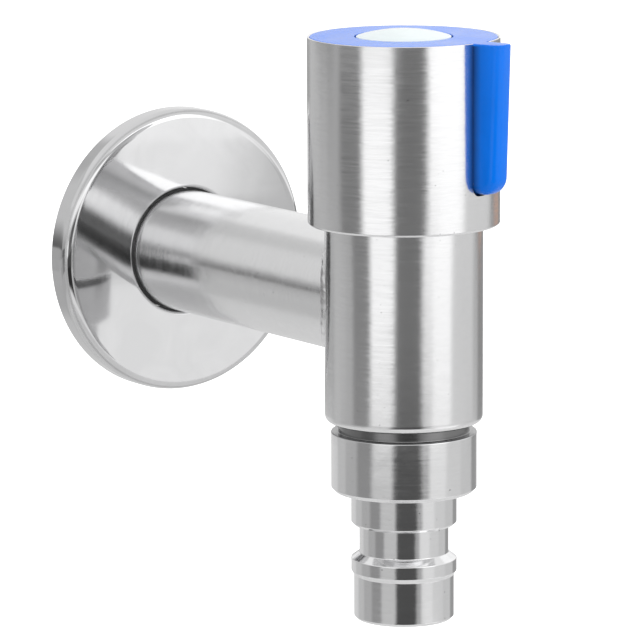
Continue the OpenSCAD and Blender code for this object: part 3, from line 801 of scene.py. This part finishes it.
class TAP_OT_inlet_arm(bpy.types.Operator):
    """Makes the inlet arm with its pipe thread, and the weld bead at its root"""

    bl_idname = "tap.inlet_arm"
    bl_label = "Inlet arm and weld"

    THREAD_STEPS = 12
    THREAD_SLACK = 0.05 * MM
    RUN_OUT = 1.2
    INTO_BARREL = 3 * MM
    BARREL_GAP = 0.02 * MM
    WELD_SUNK = -0.08 * MM
    WELD_STEPS = 12
    WELD_FULLNESS = 0.8
    WELD_SIDES = 384
    LUMPS, BEADS, RINGS = 9, 15, 38

    def cut_thread(self, piece, s):
        """Sinks the helical grooves into the thread's cylinder."""
        for spot in piece.data.vertices:
            x, y, z = spot.co
            r = math.hypot(x, z)
            if y < self.THREAD_SLACK or abs(r - s.thread) > self.THREAD_SLACK:
                continue
            phase = y / s.pitch - math.atan2(z, x) / FULL_TURN
            depth = s.thread_depth * (0.5 - 0.5 * math.cos(FULL_TURN * phase))
            depth *= min(1, y / (self.RUN_OUT * s.pitch))
            wanted = min(s.thread - depth, s.thread - s.chamfer + THREAD_END - y)
            spot.co.x, spot.co.z = x * wanted / r, z * wanted / r

    def weld_section(self, s):
        """The bead's section: how far each point stands out of the arm and off the barrel."""
        sunk, full = self.WELD_SUNK, self.WELD_FULLNESS
        section = [(sunk, sunk), (s.weld, sunk)]
        for k in range(self.WELD_STEPS + 1):
            t = math.radians(90 * k / self.WELD_STEPS)
            section.append((s.weld * math.cos(t) ** full, s.weld * math.sin(t) ** full))
        return section + [(sunk, s.weld)]

    def make_weld(self, s, finish):
        section = [(ARM_R + out, off) for out, off in self.weld_section(s)]
        piece = turned("arm_weld", section, round_arm, sides=self.WELD_SIDES)
        for spot in piece.data.vertices:
            x, off, z = spot.co
            r = math.hypot(x, z)
            t = math.atan2(z, x)
            cos_t, sin_t = math.cos(t), math.sin(t)
            lump = noise.noise(Vector((self.LUMPS * cos_t, self.LUMPS * sin_t, 0.3)))
            beads = noise.noise(Vector((self.BEADS * cos_t, self.BEADS * sin_t, off / MM)))
            ring = 0.5 + 0.5 * math.sin(self.RINGS * t + 3 * lump)
            grow = s.weld_ripple * (0.7 * ring + 0.9 * beads + 0.8 * lump - 0.9)
            share = max(0, min(1, (r - ARM_R) / s.weld)), max(0, min(1, off / s.weld))
            r_new = r + grow * share[0]
            x, z = r_new * cos_t, r_new * sin_t
            face = BARREL_Y + math.sqrt(max(BARREL_R ** 2 - x ** 2, 0))
            spot.co = (x, face + off + grow * share[1], z)
        finish_piece(piece, "tap_body", "weld", weld_steel("weld_bead_steel", finish.weld),
                     "weld_bead", smooth=60)

    def execute(self, context):
        s, finish = context.scene.tap_arm, context.scene.tap_finishes
        step = s.pitch / self.THREAD_STEPS
        count = int((THREAD_END - 0.2 * MM) / step)
        thread = [Vector((s.thread, THREAD_END - i * step)) for i in range(count + 1)]
        mouth = eased([(s.bore, THREAD_END, 0.2 * MM), (s.thread, THREAD_END),
                       (s.thread, 0), (ARM_R, 0, 0.3 * MM),
                       (ARM_R, BARREL_Y + self.INTO_BARREL),
                       (s.bore, BARREL_Y + self.INTO_BARREL)])
        corner = mouth.index(Vector((s.thread, THREAD_END)))
        outline = mouth[:corner] + thread + mouth[corner + 1:]
        piece = turned("arm_tube", outline, round_arm)
        self.cut_thread(piece, s)
        cutter = rod("arm_cutter", BARREL_R + self.BARREL_GAP, -2 * ARM_R, 2 * ARM_R)
        combine(piece, cutter, "DIFFERENCE")
        steel = lathe_steel("arm_steel", finish, dull=1.25, depth=0.4, waver=0.3,
                            along_arm=True, cloud=0.05 * MM)
        finish_piece(piece, "tap_body", "brushed_steel", steel, "inlet_arm")
        self.make_weld(s, finish)
        return {"FINISHED"}


class TAP_OT_barrel(bpy.types.Operator):
    """Makes the turned barrel with its threads, chamber and seat"""

    bl_idname = "tap.barrel"
    bl_label = "Barrel"

    def execute(self, context):
        s, arm, finish = (context.scene.tap_barrel, context.scene.tap_arm,
                          context.scene.tap_finishes)
        low, high = BARREL_LOW.z, BARREL_HIGH.z
        outline = eased([
            (s.thread, low, 0.2 * MM), (BARREL_R, low, s.edge), (BARREL_R, high, 0.2 * MM),
            (s.recess, high), (s.recess, high - s.recess_depth),
            (s.thread, high - s.recess_depth), (s.thread, high - s.thread_depth),
            (s.chamber, high - s.thread_depth), (s.chamber, -s.seat), (s.port, -s.seat),
            (s.port, -s.seat - s.web), (s.thread, -s.seat - s.web)], 8)
        piece = turned("barrel_body", outline)
        combine(piece, rod("barrel_cutter", arm.bore, BARREL_Y, BARREL_Y + 2 * BARREL_R,
                           round_arm), "DIFFERENCE")
        steel = lathe_steel("barrel_steel", finish)
        finish_piece(piece, "tap_body", "brushed_steel", steel, "barrel")
        return {"FINISHED"}


class TAP_OT_hose_nozzle(bpy.types.Operator):
    """Makes the hose nozzle: thread stub, relief, collar, step, neck, ridge and end"""

    bl_idname = "tap.hose_nozzle"
    bl_label = "Hose nozzle"

    # How far the painted shade of the relief, with its rougher surface, runs on over the collar's
    # edge
    PAINTED_SHADE_PAST = 0.12 * MM

    def execute(self, context):
        s, arm, finish = (context.scene.tap_nozzle, context.scene.tap_arm,
                          context.scene.tap_finishes)
        top, low, shoulder = NOZZLE_HIGH.z, NOZZLE_LOW.z, BARREL_LOW.z
        collar = shoulder - s.relief_h
        step = collar - s.collar_h
        neck = step - s.step_h
        cone = neck - s.neck_h
        ridge = cone - s.cone_h
        foot = ridge - s.ridge_h
        end = foot - s.foot_h
        e = s.easing
        outline = eased([
            (s.bore, top, e), (arm.thread, top, e), (arm.thread, shoulder),
            (s.relief, shoulder), (s.relief, collar, e), (COLLAR_R, collar, e),
            (COLLAR_R, step + s.collar_chamfer, e), (COLLAR_R - s.collar_chamfer, step, e),
            (s.step, step, e), (s.step, neck + s.chamfer, e), (s.step - s.chamfer, neck, e),
            (s.neck, neck, e), (s.neck, cone, e), (s.ridge, ridge, e), (s.ridge, foot, e),
            (s.end, end, e), (s.end, low + s.chamfer, e), (s.end - s.chamfer, low, e),
            (s.bore, low, e)], 4)
        piece = turned("nozzle_tail", outline)
        steel = lathe_steel("nozzle_steel", finish, dull=0.65,
                            painted_shade_band=(collar - self.PAINTED_SHADE_PAST, shoulder))
        finish_piece(piece, "tap_body", "brushed_steel", steel, "hose_nozzle")
        return {"FINISHED"}


class TAP_OT_knob_sleeve(bpy.types.Operator):
    """Makes the knob's turned steel sleeve with the slot for the fin"""

    bl_idname = "tap.knob_sleeve"
    bl_label = "Knob sleeve"

    def execute(self, context):
        s, finish = context.scene.tap_knob, context.scene.tap_finishes
        bore = KNOB_R - s.wall
        lap = s.wall - s.rim
        outline = eased([
            (bore, KNOB_BOTTOM, 0.15 * MM), (KNOB_R - s.chamfer, KNOB_BOTTOM, 0.06 * MM),
            (KNOB_R, KNOB_BOTTOM + s.chamfer, 0.1 * MM), (KNOB_R, KNOB_TOP, 0.08 * MM),
            (KNOB_R - s.rim, KNOB_TOP, 0.06 * MM), (bore, KNOB_TOP - lap)], 4)
        piece = turned("knob_shell", outline, sides=2 * SIDES)
        out, across = directions(s.fin_angle)
        half = s.fin / 2 + s.fit
        bottom = KNOB_TOP - s.fin_h - SLOT_GAP
        corners = eased([(-half, bottom, s.fin_nose + s.fit), (half, bottom, s.fin_nose + s.fit),
                         (half, KNOB_TOP + s.wall), (-half, KNOB_TOP + s.wall)], 8)
        points = [BARREL_AXIS + out * bore / 2 + across * w + Vector((0, 0, z))
                  for w, z in corners]
        combine(piece, extruded("slot_cutter", points, out * KNOB_R), "DIFFERENCE")
        steel = lathe_steel("knob_steel", finish)
        finish_piece(piece, "knob", "brushed_steel", steel, "knob_sleeve")
        return {"FINISHED"}


class TAP_OT_knob_core(bpy.types.Operator):
    """Makes the knob's blue core: top plate, skirt, hub, ribs and fin in one moulding"""

    bl_idname = "tap.knob_core"
    bl_label = "Knob core and fin"

    RIBS = 6
    TEETH = 20
    TOP_EDGE = 0.3 * MM
    SLACK = 0.01 * MM
    # How far the hub, the spline's teeth and the ribs reach below the spindle's top
    HUB_DOWN, TEETH_DOWN, RIBS_DOWN = 10 * MM, 11 * MM, 8.4 * MM
    # The screw's web above the spindle's top, and the ribs' top above the cap's spigot
    WEB_UP, RIBS_UP = 0.3 * MM, 1.45 * MM
    # How far the ribs run into the hub
    RIBS_IN = 0.3 * MM
    # How far out from the steel the painted shade on the fin reaches
    PAINTED_SHADE_REACH = 3.6 * MM

    def make_fin(self, s, root):
        out, across = directions(s.fin_angle)
        lean_in = s.fin_h * math.sin(s.fin_lean)
        foot = KNOB_TOP - s.fin_h * math.cos(s.fin_lean)
        rise = (s.fin_reach - lean_in - root) * math.tan(s.fin_lean)
        corners = eased([(root, KNOB_TOP), (root, foot + rise),
                         (s.fin_reach - lean_in, foot, s.fin_corner),
                         (s.fin_reach, KNOB_TOP)], 14)
        points = [BARREL_AXIS + out * u - across * s.fin / 2 + Vector((0, 0, z))
                  for u, z in corners]
        fin = extruded("knob_fin", points, across * s.fin)
        slack = self.SLACK

        def at_root(spot):
            return (spot - BARREL_AXIS).dot(out) < root + slack

        def at_top(spot):
            return spot.z > KNOB_TOP - slack

        def on_side(spot):
            return abs(abs((spot - BARREL_AXIS).dot(across)) - s.fin / 2) < slack

        select_edges(fin, lambda a, b: on_side(a) and on_side(b) and (a - b).dot(across) ** 2
                     < slack ** 2 and not (at_top(a) and at_top(b))
                     and not (at_root(a) and at_root(b)))
        bpy.ops.mesh.bevel(offset=s.fin_nose, segments=8, affect="EDGES")
        select_edges(fin, lambda a, b: at_top(a) and at_top(b)
                     and not (at_root(a) and at_root(b)))
        bpy.ops.mesh.bevel(offset=self.TOP_EDGE, segments=4, affect="EDGES")
        bpy.ops.object.mode_set(mode="OBJECT")
        return fin

    def make_ribs(self, s, core_r):
        top, low = CAP_LOW.z + self.RIBS_UP, SPINDLE_TOP - self.RIBS_DOWN
        inner, outer = s.hub - self.RIBS_IN, core_r - s.core_wall / 2
        ribs = []
        for i in range(self.RIBS):
            along, aside = directions(s.fin_angle + i * FULL_TURN / self.RIBS)
            aside = aside * s.core_wall / 2
            base = BARREL_AXIS + Vector((0, 0, low))
            points = [base + along * inner - aside, base + along * outer - aside,
                      base + along * outer + aside, base + along * inner + aside]
            ribs.append(extruded(f"rib_{i}", points, Vector((0, 0, top - low))))
        pick(ribs[0])
        for rib in ribs[1:]:
            rib.select_set(True)
        bpy.ops.object.join()
        return ribs[0]

    def make_teeth(self, s):
        low, high = SPINDLE_TOP - self.TEETH_DOWN, SPINDLE_TOP + self.WEB_UP
        points = []
        for i in range(2 * self.TEETH):
            r = s.bore - (i % 2) * s.spline
            t = i * math.pi / self.TEETH
            points.append(BARREL_AXIS + Vector((r * math.cos(t), r * math.sin(t), low)))
        return extruded("spline_cutter", points, Vector((0, 0, high - low)))

    def execute(self, context):
        s, finish = context.scene.tap_knob, context.scene.tap_finishes
        core_r = KNOB_R - s.wall - s.fit
        lap = s.wall - s.rim
        root = core_r - s.core_wall
        skirt = KNOB_TOP - s.fin_h - SLOT_GAP
        hub_low = SPINDLE_TOP - self.HUB_DOWN
        web_low = SPINDLE_TOP + self.WEB_UP
        seat = CAP_SEAT
        plate = KNOB_TOP - s.plate
        hole = CAP_R + s.cap_gap
        bore = s.bore - s.spline - 0.1 * MM
        outline = eased([
            (bore, hub_low), (s.hub, hub_low, 0.3 * MM), (s.hub, seat - s.core_wall),
            (hole + s.core_wall, seat - s.core_wall), (hole + s.core_wall, plate),
            (root, plate, 0.3 * MM), (root, skirt, 0.2 * MM), (core_r, skirt, 0.2 * MM),
            (core_r, KNOB_TOP - lap), (core_r + lap, KNOB_TOP, 0.14 * MM),
            (hole, KNOB_TOP, 0.12 * MM), (hole, seat), (s.well, seat, 0.1 * MM),
            (s.well, web_low + s.web), (s.screw_hole, web_low + s.web),
            (s.screw_hole, web_low), (bore, web_low)], 4)
        piece = turned("knob_insert", outline)
        combine(piece, self.make_ribs(s, core_r), "UNION")
        combine(piece, self.make_teeth(s), "DIFFERENCE")
        combine(piece, self.make_fin(s, root), "UNION")
        blue = moulded_plastic("blue_moulding", finish.blue, 0.2, 0.0012 * MM,
                               corner=(KNOB_R, KNOB_R + self.PAINTED_SHADE_REACH),
                               **{"Specular IOR Level": 0.2})
        finish_piece(piece, "knob", "blue_plastic", blue, "knob_core")
        return {"FINISHED"}


class TAP_OT_centre_cap(bpy.types.Operator):
    """Makes the domed white cap over the knob's screw"""

    bl_idname = "tap.centre_cap"
    bl_label = "Centre cap"

    DOME_STEPS = 14
    # Where the dome starts, as a share of the cap's radius and of its rise
    DOME_R, DOME_RISE = 0.9, 0.19

    def execute(self, context):
        s, finish = context.scene.tap_knob, context.scene.tap_finishes
        seat = CAP_SEAT
        rise = CAP_HIGH.z - KNOB_TOP
        dome_r = (CAP_R ** 2 + rise ** 2) / (2 * rise)
        inner = s.spigot - s.spigot_wall
        outline = [(0, seat), (inner, seat), (inner, CAP_LOW.z), (s.spigot, CAP_LOW.z),
                   (s.spigot, seat), (CAP_R, seat)]
        outline += eased([(CAP_R, seat), (CAP_R, KNOB_TOP, s.cap_edge),
                          (self.DOME_R * CAP_R, KNOB_TOP + self.DOME_RISE * rise)])[1:-1]
        for i in range(self.DOME_STEPS + 1):
            r = self.DOME_R * CAP_R * (1 - i / self.DOME_STEPS)
            outline.append((r, CAP_HIGH.z - dome_r + math.sqrt(dome_r ** 2 - r ** 2)))
        piece = turned("cap_disc", outline, closed=False)
        white = moulded_plastic("white_cap", finish.white, 0.22, 0.0008 * MM, mottle=0.012)
        finish_piece(piece, "knob", "white_plastic", white, "centre_cap", smooth=45)
        return {"FINISHED"}


class TAP_OT_inner_pieces(bpy.types.Operator):
    """Gives the pieces inside the tap their brass, ceramic, rubber, nylon and plated finishes"""

    bl_idname = "tap.inner_pieces"
    bl_label = "Inner pieces"

    def execute(self, context):
        brass = machined_metal("brass", (0.72, 0.52, 0.24), 0.28)
        plated = machined_metal("zinc_plate", (0.56, 0.57, 0.59), 0.35)
        rubber = moulded_plastic("black_rubber", (0.018, 0.018, 0.02), 0.6, 0.004 * MM)
        ceramic = moulded_plastic("ceramic", (0.84, 0.82, 0.76), 0.12, 0.0004 * MM, mottle=0.02)
        nylon = moulded_plastic("nylon", (0.80, 0.79, 0.73), 0.4, 0.002 * MM, mottle=0.02)
        finishes = {
            brass: ("cartridge_body", "spindle"),
            plated: ("stop_washer", "retaining_clip", "screw_washer", "handle_screw"),
            rubber: ("nozzle_gasket", "head_seal_ring", "seat_gasket", "lower_spindle_ring",
                     "upper_spindle_ring"),
            ceramic: ("fixed_disc", "moving_disc"),
            nylon: ("thrust_washer",)}
        for finish, names in finishes.items():
            for name in names:
                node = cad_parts[name]
                for slot in node.material_slots:
                    slot.material = finish
                if not node.material_slots:
                    node.data.materials.append(finish)
        return {"FINISHED"}


class TAP_PT_panel(bpy.types.Panel):
    """Lists the tap's pieces in the sidebar"""

    bl_idname = "TAP_PT_panel"
    bl_label = "Wall-mounted tap"
    bl_space_type = "VIEW_3D"
    bl_region_type = "UI"
    bl_category = "Tap"

    def draw(self, context):
        for maker in OPERATORS:
            self.layout.operator(maker.bl_idname)
        for name, (_, label) in GROUPS.items():
            box = self.layout.box()
            box.label(text=label)
            group = getattr(context.scene, name)
            for prop in group.__annotations__:
                box.prop(group, prop)


GROUPS = {
    "tap_flange": (FlangeSizes, "Wall flange"),
    "tap_arm": (ArmSizes, "Inlet arm"),
    "tap_barrel": (BarrelSizes, "Barrel"),
    "tap_nozzle": (NozzleSizes, "Hose nozzle"),
    "tap_knob": (KnobSizes, "Knob"),
    "tap_finishes": (TapFinishes, "Finishes"),
    "tap_studio": (TapStudio, "Studio"),
}
OPERATORS = (TAP_OT_studio, TAP_OT_wall_flange, TAP_OT_inlet_arm, TAP_OT_barrel,
             TAP_OT_hose_nozzle, TAP_OT_knob_sleeve, TAP_OT_knob_core, TAP_OT_centre_cap,
             TAP_OT_inner_pieces)


def register():
    """Registers the property groups, the operators and the panel."""
    for name, (group, _) in GROUPS.items():
        bpy.utils.register_class(group)
        setattr(bpy.types.Scene, name, bpy.props.PointerProperty(type=group))
    for maker in (*OPERATORS, TAP_PT_panel):
        bpy.utils.register_class(maker)


def unregister():
    """Takes everything back that register added."""
    for maker in reversed((*OPERATORS, TAP_PT_panel)):
        bpy.utils.unregister_class(maker)
    for name, (group, _) in reversed(GROUPS.items()):
        delattr(bpy.types.Scene, name)
        bpy.utils.unregister_class(group)


def main():
    """Makes the whole tap in order."""
    register()
    bpy.ops.tap.studio()
    bpy.ops.tap.wall_flange()
    bpy.ops.tap.inlet_arm()
    bpy.ops.tap.barrel()
    bpy.ops.tap.hose_nozzle()
    bpy.ops.tap.knob_sleeve()
    bpy.ops.tap.knob_core()
    bpy.ops.tap.centre_cap()
    bpy.ops.tap.inner_pieces()
    start_clean()


if __name__ == "__main__":
    main()
